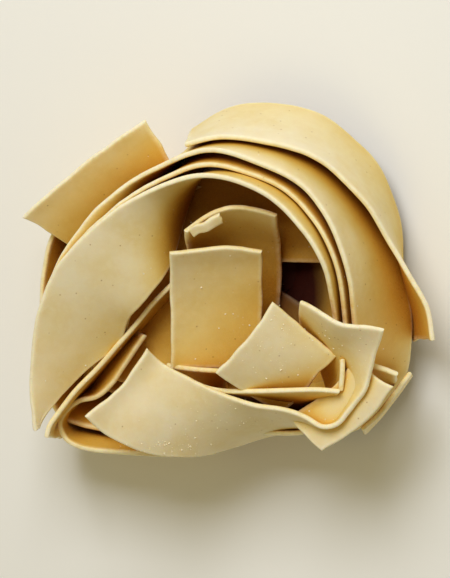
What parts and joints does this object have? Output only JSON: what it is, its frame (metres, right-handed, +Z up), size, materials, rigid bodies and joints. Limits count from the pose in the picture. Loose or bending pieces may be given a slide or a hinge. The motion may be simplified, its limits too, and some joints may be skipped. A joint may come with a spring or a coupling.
{
  "type": "dry pasta nest",
  "caption": "Dried nest of broad flat egg-pasta ribbons, coiled loosely around a hollow, with folded strips and loose cut ends lying over it.",
  "frame": {"origin": "centre of the nest's outline, on the surface that it rests on", "axes": "+Z up out of the nest's open side, +X along its longest side, towards the loose outer end, +Y away from the folded band"},
  "size_m": [0.0954, 0.0796, 0.0427],
  "materials": {
    "pasta": "matt, slightly floury dried dough with paler, rough cut edges"
  },
  "bodies": {
    "root": {"pasta_nest": "pasta"}
  },
  "joints": []
}
